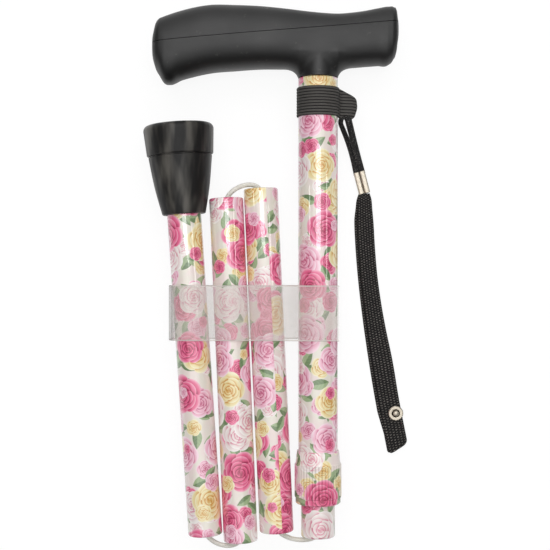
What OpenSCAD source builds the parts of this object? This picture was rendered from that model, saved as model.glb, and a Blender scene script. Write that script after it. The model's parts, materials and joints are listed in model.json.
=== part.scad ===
// Folding walking cane, folded in four and lying flat. Millimetres, degrees.
// Pieces are drawn in the cane's own plane: the outer tube's axis is x = 0, its top end is y = 0,
// and all tube axes lie at z = 0. place() then moves everything to the frame of the part.

/* [Tubes] */
// Outside diameter of the four folding tubes
tube_d = 19; // [17:0.5:21]
// Wall of every tube
tube_wall = 1.2; // [1:0.1:1.4]
// Radial gap between the outer tube and the tube that slides in it
slide_gap = 0.3; // [0.2:0.05:0.4]
// Length of the outer tube below the handle
outer_tube_l = 224; // [200:1:240]
// Travel of the height adjustment
height_travel = 100; // [60:5:105]
// Sliding length that stays in the outer tube at full height
slide_hold = 55; // [40:1:60]
// Least length of the sliding tube that shows below the collar
slide_show = 18.5; // [16:0.5:30]
// Length of the second tube
tube_2_l = 190.5; // [180:0.5:205]
// Length of the third tube
tube_3_l = 190.5; // [180:0.5:205]
// Length of the fourth tube between its mouth and the ferrule
tube_4_l = 178; // [165:0.5:190]

/* [Folding] */
// Least gap between neighbouring tubes, and between the collar and the second tube
tube_gap = 0.4; // [0.3:0.1:1]
// Gap that stays between two tube ends when they meet
joint_gap = 0.4; // [0.2:0.1:0.8]
// Lean of the second tube against the outer tube
lean_2 = 2.7; // [2:0.1:4]
// How much less the third tube leans than the second
splay_3 = 0.25; // [0:0.05:1]
// Least gap between the handle's lip and the folded tubes below it
under_gap = 2; // [1:0.5:6]
// Gap between the ferrule and the third tube's upper end
ferrule_gap = 0.6; // [0.4:0.1:2]
// Step between the ends of the first and the second tube
step_1 = 2.8; // [0:0.2:5]
// Step between the ends of the second and the third tube
step_2 = 4.4; // [0:0.2:6]
// Step between the ends of the third and the fourth tube
step_3 = 4.4; // [0:0.2:6]

/* [Lock collar] */
// Diameter over the ribs
collar_d = 26; // [25:0.5:30]
// Whole length
collar_l = 29.4; // [26:0.2:34]
// Length of the conical shoulder
collar_shoulder_l = 7.2; // [5:0.2:9]
// Length of the plain lip
collar_lip_l = 3.4; // [2:0.2:5]
// How much the lip is smaller than the ribs, in radius
collar_lip_inset = 0.5; // [0.3:0.1:0.8]
// Number of ribs
rib_count = 44; // [24:2:60]
// Depth of the grooves between the ribs
rib_depth = 0.3; // [0.2:0.05:0.4]
// Length of the outer tube that the collar covers
collar_over = 17.4; // [15:0.2:20]
// Wall of the sleeve that the collar turns on
sleeve_wall = 0.8; // [0.6:0.1:1]

/* [Joint inserts and cord] */
// Wall of the bushes in the tube mouths
bush_wall = 0.8; // [0.6:0.1:1]
// Length of the bushes
bush_l = 30; // [24:1:36]
// Length of the joint inserts
insert_l = 62; // [56:1:70]
// Depth of a joint insert inside its mouth when the cane is folded
insert_depth = 14; // [12:0.5:18]
// Diameter of the shock cord
cord_d = 2.6; // [2:0.1:4]
// Depth in the tube ends where the cord starts to bend
cord_depth = 3; // [2:0.2:5]
// How far the cord's centreline stands out of the tube ends at a fold
cord_out = 1.6; // [1.5:0.1:4.5]
// Length of the two cord anchors
anchor_l = 12; // [8:1:16]

/* [Ferrule] */
// Diameter at the edge of the tip
ferrule_tip_d = 39; // [36:0.5:44]
// Diameter of the tip band at its step
ferrule_band_d = 37; // [35.5:0.5:38.5]
// Length of the tip band
ferrule_band_l = 17; // [10:0.5:20]
// Diameter of the body under the band
ferrule_body_d = 35; // [32:0.5:35.5]
// Diameter of the body where it swells
ferrule_belly_d = 30; // [28:0.5:32]
// Diameter at the mouth
ferrule_mouth_d = 24; // [23:0.5:27]
// Whole length
ferrule_l = 50; // [42:0.5:54]
// Rubber under the washer
ferrule_floor = 7; // [5:0.5:10]
// Rounding of the tip's edge
ferrule_round = 3; // [1.5:0.5:4]
// Thickness of the washer under the tube's end
washer_t = 1.5; // [1:0.1:2]

/* [Handle] */
// Length from end to end
handle_l = 135.6; // [125:0.5:145]
// Length from the tube's axis to the long end
handle_reach = 91.7; // [85:0.5:97]
// Height from the lowest lip to the crown
handle_h = 43.4; // [38:0.2:46]
// How far the lip hangs below the tube's top end
handle_drop = 3.6; // [2:0.2:5]
// Thickness of the long end
handle_w = 32; // [29:0.5:36]
// Squareness of the cross-section: 2 is an ellipse
handle_square = 2.5; // [2:0.1:4]
// Height of the seam over the tube's top end, at the tube's axis
seam_y = 25.8; // [22:0.1:30]
// Slope of the seam
seam_tilt = 5.1; // [3:0.1:6]
// Diameter of the neck on the tube's end
neck_d = 21; // [19:0.2:21.6]
// Rounding under the neck
neck_fillet = 2.4; // [1.5:0.1:3.5]
// Length of the spigot in the tube
spigot_l = 32; // [26:1:40]
// Diameter of the handle screw
screw_d = 4; // [3:0.5:5]
// Diameter of the cross pin
pin_d = 3; // [2:0.5:4]

/* [Storage clip] */
// Length along the tubes
clip_l = 30.5; // [20:0.5:40]
// Wall of the clip
clip_wall = 1.2; // [1:0.1:2.5]
// Gap between the clip and the tubes
clip_gap = 0.4; // [0.3:0.1:0.8]
// Distance of the clip below the ferrule's mouth
clip_below = 39.2; // [5:0.1:60]
// Reach of the clip past the outer tube's axis
clip_past = 11; // [8:0.5:16]

/* [Wrist strap] */
// Thickness of the elastic webbing
band_t = 0.9; // [0.6:0.1:2]
// Width of the elastic band
band_w = 16; // [12:0.5:20]
// Distance of the band below the outer tube's top end
band_down = 5.8; // [4:0.2:10]
// Length of the sewn tab
tab_l = 9.4; // [8:0.2:14]
// How much the tab hangs below the tubes' plane
tab_sag = 4; // [2:0.5:6]
// How far the tab's lower edge passes the band
tab_drop = 1.4; // [0.5:0.1:3]
// Diameter of the thin cord loop
strap_cord_d = 1.8; // [1.4:0.1:2.2]
// Diameter of each barrel of the crimp
barrel_d = 3.6; // [3.2:0.1:4.5]
// Length of the crimp
crimp_l = 12; // [10:0.5:14]
// Distance from the eye to the crimp, sideways
crimp_side = 7.8; // [5:0.2:10]
// Distance from the eye to the crimp's upper end, along the cane
crimp_down = 30; // [26:0.5:40]
// Width of the tape where it is widest
tape_w = 11.4; // [9:0.2:13]
// Thickness of one layer of the tape
tape_t = 1.3; // [1:0.1:1.6]
// Length of the tape along the cane
tape_run = 147; // [130:1:160]
// How far the tape strays sideways
tape_sway = 19.3; // [10:0.5:25]
// How far the lower layer peeps out beside the upper one
tape_shift = 2; // [1:0.2:3]
// Diameter of the snap stud
snap_d = 8.5; // [7:0.5:9.5]
// Height of the snap stud's ring
snap_t = 0.9; // [0.6:0.1:1.2]
// Distance of the snap from the tape's end, along the cane
snap_up = 21.5; // [14:0.5:30]

/* [Hidden] */
$fn = 64;

// Clearances and overruns
fit_gap = 0.05;
running_gap = 0.06;
turn_gap = 0.1;
bore_gap = 0.5;
overrun = 1;
floor_gap = 0.3;

// Colours
black = "#1d1d1f";
print_pink = "#d98c9c";
nickel = "#c9c6be";
frost = "#e3e6e6";
pale = "#e8e0d0";
cord_white = "#e6e2d8";

// Radii and stations along the outer tube, measured down from its top end
tube_r = tube_d / 2;
tube_bore_r = tube_r - tube_wall;
outer_bore_r = tube_r + slide_gap;
outer_r = outer_bore_r + tube_wall;
collar_r = collar_d / 2;
collar_at = outer_tube_l - collar_over;
collar_end = collar_at + collar_l;
slide_top = outer_tube_l - height_travel - slide_hold;
sleeve_r = outer_r + fit_gap + sleeve_wall;
collar_bore_r = sleeve_r + turn_gap;
bush_bore_r = tube_bore_r - fit_gap - bush_wall;
insert_r = bush_bore_r - running_gap;
cord_r = cord_d / 2;
cord_sides = 8;
cord_steps = 14;
step_bend_share = 0.6;
insert_travel = insert_depth + bush_l;

// Places of the tubes in the cane's plane: mouth, far end and direction of each
function ray(a) = [cos(a), sin(a)];
function up(lean) = [-sin(lean), cos(lean)];
function left_of(v) = [-v.y, v.x];
function pivot(from, to, turn) = (from + to) / 2 + left_of(to - from) / (2 * tan(turn / 2));

// Body of the ferrule: distance from its mouth and radius, before the tip band starts
ferrule_body_l = ferrule_l - ferrule_band_l;
ferrule_belly_share = 0.42;
ferrule_body = [[0, ferrule_mouth_d / 2], [ferrule_belly_share * ferrule_body_l, ferrule_belly_d / 2],
                [ferrule_body_l, ferrule_body_d / 2]];
function ferrule_r(s) = s > ferrule_body_l ? ferrule_tip_d / 2 : lookup(s, ferrule_body);

pitch_1 = collar_r + tube_r + tube_gap;
pitch = tube_d + tube_gap;
lean_3 = lean_2 - splay_3;
beside_l = tube_3_l - step_3;
ferrule_need = ferrule_r(beside_l - tube_4_l) + tube_r + ferrule_gap - pitch;
lean_4 = lean_3 + asin(ferrule_need / beside_l);
way_1 = -up(0);
way_2 = up(lean_2);
way_3 = -up(lean_3);
way_4 = up(lean_4);
// Steps from one tube end to the next mouth, and from there to the tube's other end
across_1 = [-pitch_1, step_1];
across_2 = pitch * left_of(way_2) - step_2 * way_2;
across_3 = -pitch * left_of(way_3) - step_3 * way_3;
run_2 = tube_2_l * way_2;
run_3 = tube_3_l * way_3;
run_4 = (tube_4_l + ferrule_l) * way_4;
// The sliding tube comes out far enough for the folded tubes to stay below the handle
rise_2 = (across_1 + run_2).y + tube_r * sin(lean_2);
rise_4 = (across_1 + run_2 + across_2 + run_3 + across_3 + run_4).y + ferrule_tip_d / 2 * sin(lean_4);
slide_end = max(collar_end + slide_show, max(rise_2, rise_4) + handle_drop + under_gap);
end_1 = slide_end * way_1;
mouth_2 = end_1 + across_1;
end_2 = mouth_2 + run_2;
mouth_3 = end_2 + across_2;
end_3 = mouth_3 + run_3;
mouth_4 = end_3 + across_3;
tip_4 = mouth_4 + run_4;
tube_4_whole_l = tube_4_l + ferrule_l - ferrule_floor - washer_t;

// Folds: angle to straight and pivot of each
fold_1 = 180 - lean_2;
fold_2 = 180 - splay_3;
fold_3 = 180 + lean_3 - lean_4;
pivot_1 = pivot(mouth_2, end_1 + joint_gap * way_1, fold_1);
pivot_2 = pivot(mouth_3, end_2 + joint_gap * way_2, -fold_2);
pivot_3 = pivot(mouth_4, end_3 + joint_gap * way_3, fold_3);

// Handle stations: shares of handle_l, of handle_h for crown and underside, of handle_w
handle_shares = [
    [0, 0.636, 0.267, 0.44], [0.009, 0.763, 0.175, 0.66], [0.02, 0.82, 0.118, 0.78],
    [0.038, 0.85, 0.025, 0.89], [0.066, 0.882, 0, 0.955], [0.111, 0.926, 0.058, 0.99],
    [0.16, 0.965, 0.101, 1], [0.229, 1, 0.147, 1], [0.337, 1, 0.177, 0.985],
    [0.44, 0.986, 0.198, 0.95], [0.533, 0.959, 0.198, 0.905], [0.632, 0.922, 0.198, 0.87],
    [0.706, 0.901, 0.203, 0.845], [0.757, 0.894, 0.207, 0.83], [0.809, 0.906, 0.214, 0.825],
    [0.865, 0.929, 0.228, 0.81], [0.92, 0.963, 0.24, 0.78], [0.963, 0.984, 0.249, 0.7],
    [0.984, 0.977, 0.313, 0.6], [0.996, 0.929, 0.415, 0.44], [1, 0.843, 0.521, 0.28]];
ring_n = 28;
half_space = 2 * handle_l;
neck_r = neck_d / 2;
neck_land = 0.8;
neck_top_share = 0.5;
neck_top = neck_top_share * handle_h;
spigot_r = outer_bore_r - fit_gap;
screw_head_shares = [1.75, 0.7];
screw_head_d = screw_head_shares[0] * screw_d;
screw_head_t = screw_head_shares[1] * screw_d;
screw_seat = 5;
screw_bite = 5;
pin_down = band_down + band_w / 2;
// Moulded pockets behind the seam: first and last share of handle_l
pocket_shares = [[0.1, 0.3], [0.33, 0.55]];
short_pocket_shares = [[0.79, 0.92]];
pocket_w_share = 0.5;
pocket_z = pocket_w_share * handle_w;
pocket_low = 11;
pocket_high = 6;

// Clip: section across the tubes
clip_in = tube_r + clip_gap;
clip_bay = max(collar_r, outer_r) + clip_gap;
clip_slope = 7;
clip_top_y = (mouth_4 + tube_4_l * way_4).y - clip_below;
clip_left = mouth_4.x - (clip_top_y - mouth_4.y) * tan(lean_4) - tube_r / cos(lean_4) - clip_gap;

// Wrist strap: eye in the tab, crimp and tape
band_r = outer_r + fit_gap + band_t;
tab_t = 2 * band_t;
tab_x = outer_r + fit_gap + band_t / 2;
tab_low = -band_down - band_w - tab_drop;
eye_d = 2 * strap_cord_d + bore_gap;
eye_slack = 1.6;
eye_bend_r = (tab_t + strap_cord_d) / 2 + eye_slack;
eye_up_share = 0.75;
eye = [tab_x + tab_l / 2, tab_low + eye_up_share * eye_bend_r];
crimp = eye + [crimp_side, -crimp_down];
crimp_turn = atan2(crimp_side, crimp_down);
table_z = -ferrule_tip_d / 2;
tape_z = table_z + floor_gap;
crimp_z = tape_z + barrel_d / 2;
barrel_side_share = 0.46;
barrel_side = barrel_side_share * barrel_d;
hang = [sin(crimp_turn), -cos(crimp_turn)];
strap_bend_steps = 12;
tape_start = crimp + crimp_l * hang;
tape_layer_gap = 0.5;
tape_upper_z = tape_z + tape_t + tape_layer_gap;
// Centreline of the tape: shares of tape_run, of tape_sway and of tape_w
tape_shares = [[0, 0, 0.55], [0.1, 0.025, 0.57], [0.19, 0.06, 0.6], [0.33, 0.145, 0.68],
               [0.44, 0.25, 0.78], [0.53, 0.355, 0.88], [0.66, 0.53, 1], [0.81, 0.72, 1], [1, 1, 1]];
snap_share = 1 - snap_up / tape_run;
snap_side_share = 0.2;
snap_side = snap_side_share * tape_w;
snap_at = tape_start + [lookup(snap_share, [for (s = tape_shares) [s[0], s[1]]]) * tape_sway + snap_side,
                        -snap_share * tape_run];
stud_share = 0.45;
stud_d = stud_share * snap_d;
stud_h = 2 * snap_t;

// Frame of the part: middle of the bounding box on the table
left_x = tip_4.x - ferrule_tip_d / 2;
right_x = tape_start.x + tape_sway + tape_w / 2;
top_y = handle_h - handle_drop;
low_bend = cord_handles(end_3, way_3, mouth_4, -way_4, step_3);
bottom_y = min([for (k = [0 : cord_steps]) curve(low_bend, k / cord_steps).y]) - cord_r;
frame = [-(left_x + right_x) / 2, -(top_y + bottom_y) / 2, -table_z];

echo(frame = frame, leans = [lean_2, lean_3, lean_4], folds = [fold_1, fold_2, fold_3]);
echo(pivots = [for (p = [pivot_1, pivot_2, pivot_3]) [p.x + frame.x, p.y + frame.y, frame.z]]);
echo(eye = [eye.x + frame.x, eye.y + frame.y], insert_travel = insert_travel);
echo(ways = [way_1, way_2, way_3, way_4], tip = [tip_4.x + frame.x, tip_4.y + frame.y, frame.z]);

// Moves the cane's plane to the frame of the part
module place() { translate(frame) children(); }

// Draws children along +z from a point in the cane's plane, in the given direction
module along(from, way) {
    place() translate([from.x, from.y, 0]) rotate([0, 90, atan2(way.y, way.x)]) children();
}

module on_cane() { along([0, 0], way_1) children(); }
module on_tube_2() { along(mouth_2, way_2) children(); }
module on_tube_3() { along(mouth_3, way_3) children(); }
module on_tube_4() { along(mouth_4, way_4) children(); }

module pipe(r, bore_r, from, to) {
    translate([0, 0, from]) difference() {
        cylinder(r = r, h = to - from);
        translate([0, 0, -overrun]) cylinder(r = bore_r, h = to - from + 2 * overrun);
    }
}

// Handle: loft of squared ellipses
function squared(c) = sign(c) * pow(abs(c), 2 / handle_square);
function handle_ring(s) =
    let (x = s[0] * handle_l - handle_reach,
         high = s[1] * handle_h - handle_drop,
         low = s[2] * handle_h - handle_drop)
    [for (i = [0 : ring_n - 1])
        let (a = 360 * i / ring_n)
        [x, (high + low + (high - low) * squared(sin(a))) / 2, s[3] * handle_w / 2 * squared(cos(a))]];

module handle_form() {
    last = len(handle_shares) - 1;
    sides = [for (k = [0 : last - 1], i = [0 : ring_n - 1])
        let (j = (i + 1) % ring_n, a = k * ring_n, b = a + ring_n)
        each [[a + i, a + j, b + j], [a + i, b + j, b + i]]];
    caps = [[for (i = [0 : ring_n - 1]) ring_n - 1 - i], [for (i = [0 : ring_n - 1]) last * ring_n + i]];
    polyhedron(points = [for (s = handle_shares) each handle_ring(s)], faces = concat(sides, caps));
}

module above_seam() {
    translate([0, seam_y, 0]) rotate([0, 0, seam_tilt])
        translate([-half_space / 2, 0, -half_space / 2]) cube(half_space);
}

// Pockets reach up or down from the seam
module seam_pockets(spans, low, high) {
    for (s = spans)
        translate([0, seam_y, 0]) rotate([0, 0, seam_tilt])
            translate([s[0] * handle_l - handle_reach, -low, -pocket_z / 2])
                cube([(s[1] - s[0]) * handle_l, low + high, pocket_z]);
}

module up_from_tube() { rotate([-90, 0, 0]) children(); }

module neck_form() {
    flare = [for (a = [0 : 15 : 90]) [neck_r + neck_fillet * (1 - cos(a)), neck_land + neck_fillet * sin(a)]];
    up_from_tube() rotate_extrude()
        polygon(concat([[0, 0], [neck_r, 0]], flare, [[neck_r + neck_fillet, neck_top], [0, neck_top]]));
}

module handle_lower_shell() {
    color(black) place() difference() {
        union() {
            difference() {
                union() {
                    handle_form();
                    neck_form();
                }
                above_seam();
                seam_pockets(concat(pocket_shares, short_pocket_shares), pocket_low, overrun);
            }
            up_from_tube() translate([0, 0, -spigot_l]) cylinder(r = spigot_r, h = spigot_l);
        }
        up_from_tube() translate([0, 0, -spigot_l - overrun]) {
            cylinder(r = screw_d / 2 + turn_gap, h = half_space);
            cylinder(r = screw_head_d / 2 + bore_gap, h = spigot_l + overrun - screw_seat);
        }
        translate([0, -pin_down, -half_space / 2]) cylinder(r = pin_d / 2 + fit_gap, h = half_space);
    }
}

module handle_upper_shell() {
    color(black) place() difference() {
        intersection() {
            handle_form();
            above_seam();
        }
        seam_pockets(pocket_shares, overrun, pocket_high);
        up_from_tube() cylinder(r = screw_d / 2 + fit_gap, h = seam_y + screw_bite + overrun);
    }
}

module handle_screw() {
    color(nickel) place() up_from_tube() {
        translate([0, 0, -screw_seat]) cylinder(d = screw_d, h = screw_seat + seam_y + screw_bite);
        translate([0, 0, -screw_seat - screw_head_t]) cylinder(d = screw_head_d, h = screw_head_t);
    }
}

module handle_pin() {
    color(nickel) place() translate([0, -pin_down, -outer_r + turn_gap])
        cylinder(d = pin_d, h = 2 * (outer_r - turn_gap));
}

module outer_tube() {
    color(print_pink) on_cane() difference() {
        pipe(outer_r, outer_bore_r, 0, outer_tube_l);
        translate([0, 0, pin_down]) rotate([0, 90, 0]) translate([0, 0, -half_space / 2])
            cylinder(r = pin_d / 2 + fit_gap, h = half_space);
    }
}

module thread_sleeve() {
    color(black) on_cane() pipe(sleeve_r, outer_r + fit_gap, collar_at + collar_shoulder_l / 2, outer_tube_l);
}

module collet() {
    slit_w = 2 * slide_gap;
    slit_l = (collar_l - collar_over - collar_lip_l) / 2;
    color(pale) on_cane() difference() {
        pipe(sleeve_r - fit_gap, tube_r + running_gap, outer_tube_l + fit_gap,
             collar_end - collar_lip_l - turn_gap);
        for (a = [0, 90])
            translate([0, 0, outer_tube_l + slit_l]) rotate(a)
                translate([-half_space / 2, -slit_w / 2, 0]) cube([half_space, slit_w, collar_l]);
    }
}

module lock_collar() {
    ribs_at = collar_at + collar_shoulder_l;
    ribs_end = collar_end - collar_lip_l;
    groove_r = PI * collar_d / rib_count / 4;
    lip_r = collar_r - collar_lip_inset;
    throat_r = outer_r + turn_gap;
    color(print_pink) on_cane() {
        translate([0, 0, collar_at]) rotate_extrude()
            polygon([[throat_r, 0], [throat_r + collar_lip_inset, 0], [lip_r, collar_shoulder_l],
                     [collar_bore_r, collar_shoulder_l], [collar_bore_r, collar_shoulder_l / 2 - turn_gap],
                     [throat_r, collar_shoulder_l / 2 - turn_gap]]);
        translate([0, 0, ribs_at]) linear_extrude(ribs_end - ribs_at) difference() {
            circle(collar_r);
            circle(collar_bore_r);
            for (i = [0 : rib_count - 1])
                rotate(360 * i / rib_count) translate([collar_r + groove_r - rib_depth, 0])
                    circle(groove_r, $fn = 16);
        }
        pipe(lip_r, tube_r + slide_gap, ribs_end, collar_end);
    }
}

module inner_tube() { color(print_pink) on_cane() pipe(tube_r, tube_bore_r, slide_top, slide_end); }

module anchor_plug(from) { color(pale) pipe(tube_bore_r - fit_gap, cord_r + fit_gap, from, from + anchor_l); }

module cord_run(from, to) { color(cord_white) translate([0, 0, from]) cylinder(r = cord_r, h = to - from); }

module cord_knot(at) { color(cord_white) translate([0, 0, at]) sphere(r = 2 * cord_r); }

module mouth_bush(from) { color(pale) pipe(tube_bore_r - fit_gap, bush_bore_r, from, from + bush_l); }

module joint_insert(mouth) {
    tip = mouth - insert_depth;
    color(pale) pipe(insert_r, cord_r + bore_gap, tip - insert_l, tip);
}

module cord_anchor_top() { on_cane() anchor_plug(slide_top + anchor_l); }
module shock_cord_1() {
    on_cane() {
        cord_run(slide_top + anchor_l - cord_d, slide_end - cord_depth);
        cord_knot(slide_top + anchor_l - 2 * cord_r);
    }
}
module mouth_bush_1() { on_cane() mouth_bush(slide_end - bush_l); }
module joint_insert_1() { on_cane() joint_insert(slide_end); }

module tube_2() { color(print_pink) on_tube_2() pipe(tube_r, tube_bore_r, 0, tube_2_l); }
module mouth_bush_2_low() { on_tube_2() mouth_bush(0); }
module mouth_bush_2_high() { on_tube_2() mouth_bush(tube_2_l - bush_l); }
module shock_cord_2() { on_tube_2() cord_run(cord_depth, tube_2_l - cord_depth); }
module joint_insert_2() { on_tube_2() joint_insert(tube_2_l); }

module tube_3() { color(print_pink) on_tube_3() pipe(tube_r, tube_bore_r, 0, tube_3_l); }
module mouth_bush_3_high() { on_tube_3() mouth_bush(0); }
module mouth_bush_3_low() { on_tube_3() mouth_bush(tube_3_l - bush_l); }
module shock_cord_3() { on_tube_3() cord_run(cord_depth, tube_3_l - cord_depth); }
module joint_insert_3() { on_tube_3() joint_insert(tube_3_l); }

module tube_4() { color(print_pink) on_tube_4() pipe(tube_r, tube_bore_r, 0, tube_4_whole_l); }
module mouth_bush_4() { on_tube_4() mouth_bush(0); }
module cord_anchor_tip() { on_tube_4() anchor_plug(tube_4_l); }
module shock_cord_4() {
    on_tube_4() {
        cord_run(cord_depth, tube_4_l + anchor_l + cord_d);
        cord_knot(tube_4_l + anchor_l + 2 * cord_r);
    }
}

module ferrule_washer() {
    color(nickel) on_tube_4() pipe(tube_r, tube_bore_r / 2, tube_4_whole_l, tube_4_whole_l + washer_t);
}

module ferrule() {
    socket_r = tube_r + fit_gap;
    socket_l = ferrule_l - ferrule_floor;
    tip_r = ferrule_tip_d / 2;
    edge = [for (a = [0 : 15 : 90])
        [tip_r - ferrule_round * (1 - cos(a)), ferrule_l - ferrule_round * (1 - sin(a))]];
    color(black) on_tube_4() translate([0, 0, tube_4_l]) rotate_extrude()
        polygon(concat([[0, socket_l], [socket_r, socket_l], [socket_r, 0]],
                       [for (b = ferrule_body) [b[1], b[0]]], [[ferrule_band_d / 2, ferrule_body_l]],
                       edge, [[0, ferrule_l]]));
}

// Cord across a fold: one smooth curve from inside a tube end to inside the next
function curve(p, t) = pow(1 - t, 3) * p[0] + 3 * t * pow(1 - t, 2) * p[1] + 3 * t * t * (1 - t) * p[2]
    + pow(t, 3) * p[3];
function curve_way(p, t) =
    let (v = pow(1 - t, 2) * (p[1] - p[0]) + 2 * t * (1 - t) * (p[2] - p[1]) + t * t * (p[3] - p[2]))
    v / norm(v);
function unit(v) = v / norm(v);
function flat(v) = [v.x, v.y, 0];

function cord_handles(end_a, way_a, end_b, way_b, step) =
    let (reach = (cord_depth + cord_out + step_bend_share * step) * 4 / 3,
         start_a = end_a - cord_depth * way_a,
         start_b = end_b - cord_depth * way_b)
    [start_a, start_a + reach * way_a, start_b + reach * way_b, start_b];

// Round cord through the points of a path; across is a direction that none of its ways takes
module cord_tube(path, ways, across, r, tint) {
    n = cord_sides;
    last = len(path) - 1;
    rings = [for (k = [0 : last])
        let (lift = unit(cross(ways[k], across)), side = cross(lift, ways[k]))
        for (i = [0 : n - 1]) path[k] + r * (cos(360 * i / n) * side + sin(360 * i / n) * lift)];
    sides = [for (k = [0 : last - 1], i = [0 : n - 1])
        let (j = (i + 1) % n, a = k * n, b = a + n) each [[a + i, b + j, a + j], [a + i, b + i, b + j]]];
    caps = [[for (i = [0 : n - 1]) i], [for (i = [0 : n - 1]) last * n + n - 1 - i]];
    color(tint) place() polyhedron(points = rings, faces = concat(sides, caps));
}

module cord_across(end_a, way_a, end_b, way_b, step) {
    p = cord_handles(end_a, way_a, end_b, way_b, step);
    spans = [for (k = [0 : cord_steps]) k / cord_steps];
    cord_tube([for (t = spans) flat(curve(p, t))], [for (t = spans) flat(curve_way(p, t))],
              [0, 0, 1], cord_r, cord_white);
}

module cord_bend_1() { cord_across(end_1, way_1, mouth_2, -way_2, step_1); }
module cord_bend_2() { cord_across(end_2, way_2, mouth_3, -way_3, step_2); }
module cord_bend_3() { cord_across(end_3, way_3, mouth_4, -way_4, step_3); }

// Section of the clip: a closed round end at the fourth tube and an open, wider bay at the outer tube
// The path runs from the upper lip round the closed end to the lower lip
function clip_path(grow) =
    let (round_x = clip_left + clip_in,
         slope_x = -max(collar_r, outer_r),
         upper = [[clip_past, clip_bay + grow], [slope_x + clip_slope / 2, clip_bay + grow],
                  [slope_x - clip_slope / 2, clip_in + grow]])
    concat(upper,
        [for (a = [90 : 7.5 : 270]) [round_x, 0] + (clip_in + grow) * ray(a)],
        [for (i = [2 : -1 : 0]) [upper[i].x, -upper[i].y]]);
function reversed(list) = [for (i = [len(list) - 1 : -1 : 0]) list[i]];

module storage_clip() {
    color(frost) place() translate([0, clip_top_y, 0]) rotate([90, 0, 0]) linear_extrude(clip_l)
        polygon(concat(clip_path(clip_wall), reversed(clip_path(0))));
}

module strap_band() {
    color(black) {
        on_cane() pipe(band_r, outer_r + fit_gap, band_down, band_down + band_w);
        place() difference() {
            translate([tab_x, tab_low, -tab_sag - tab_t / 2]) cube([tab_l, band_w, tab_t]);
            translate([eye.x, eye.y, -tab_sag - tab_t]) cylinder(d = eye_d, h = 2 * tab_t);
            translate([0, tab_low - overrun, 0]) rotate([-90, 0, 0])
                cylinder(r = outer_r + fit_gap, h = band_w + 2 * overrun);
        }
    }
}

// The wrist strap turns about the eye, so it is drawn from there down to the table
module strap_cord() {
    beside = [cos(crimp_turn), sin(crimp_turn), 0];
    lead = flat(hang);
    centre = [eye.x, eye.y, -tab_sag] + eye_bend_r * lead;
    bend = [for (k = [0 : strap_bend_steps])
        let (a = 180 * k / strap_bend_steps)
        centre - eye_bend_r * (sin(a) * lead + cos(a) * [0, 0, 1])];
    barrels = [for (side = [-1, 1]) [crimp.x, crimp.y, crimp_z] + side * barrel_side * beside];
    path = [barrels[0], each bend, barrels[1]];
    last = len(path) - 1;
    ways = [-lead, for (k = [1 : last - 1]) unit(path[k + 1] - path[k - 1]), lead];
    cord_tube(path, ways, beside, strap_cord_d / 2, black);
}

module strap_crimp() {
    color(nickel) place() translate([crimp.x, crimp.y, crimp_z]) rotate([90, 0, crimp_turn])
        for (side = [-1, 1])
            translate([side * barrel_side, 0, 0]) cylinder(d = barrel_d, h = crimp_l);
}

// Outline of one tape layer, as points down its left side and up its right side
function tape_point(s, side) = tape_start + [s[1] * tape_sway + side * s[2] * tape_w / 2, -s[0] * tape_run];
function tape_outline() = concat([for (s = tape_shares) tape_point(s, -1)],
    [for (i = [len(tape_shares) - 1 : -1 : 0]) tape_point(tape_shares[i], 1)]);

module wrist_tape() {
    fold_l = tape_t;
    color(black) place() {
        translate([-tape_shift, 0, tape_z]) linear_extrude(tape_t) polygon(tape_outline());
        translate([0, 0, tape_upper_z]) linear_extrude(tape_t) difference() {
            polygon(tape_outline());
            translate(snap_at) circle(d = stud_d + 2 * fit_gap);
        }
        translate([tape_start.x + tape_sway - tape_w / 2, tape_start.y - tape_run, tape_z])
            cube([tape_w - tape_shift, fold_l, tape_upper_z + tape_t - tape_z]);
    }
}

module snap_stud() {
    color(nickel) place() translate([snap_at.x, snap_at.y, tape_upper_z + tape_t]) {
        cylinder(d = snap_d, h = snap_t);
        cylinder(d = stud_d, h = snap_t + stud_h);
    }
}

module snap_rivet() {
    plate_z = tape_upper_z - tape_layer_gap + fit_gap;
    color(nickel) place() translate([snap_at.x, snap_at.y, plate_z]) {
        cylinder(d = snap_d - snap_t, h = tape_upper_z - fit_gap - plate_z);
        cylinder(d = stud_d, h = tape_upper_z + tape_t - plate_z);
    }
}

handle_lower_shell();
handle_upper_shell();
handle_screw();
handle_pin();
outer_tube();
thread_sleeve();
collet();
strap_band();
lock_collar();
inner_tube();
cord_anchor_top();
shock_cord_1();
mouth_bush_1();
cord_bend_1();
joint_insert_1();
tube_2();
mouth_bush_2_low();
mouth_bush_2_high();
shock_cord_2();
cord_bend_2();
joint_insert_2();
tube_3();
mouth_bush_3_high();
mouth_bush_3_low();
shock_cord_3();
cord_bend_3();
joint_insert_3();
tube_4();
mouth_bush_4();
shock_cord_4();
cord_anchor_tip();
ferrule_washer();
ferrule();
storage_clip();
strap_cord();
strap_crimp();
wrist_tape();
snap_stud();
snap_rivet();
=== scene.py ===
import json
from math import cos, pi, radians, sin

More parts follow.
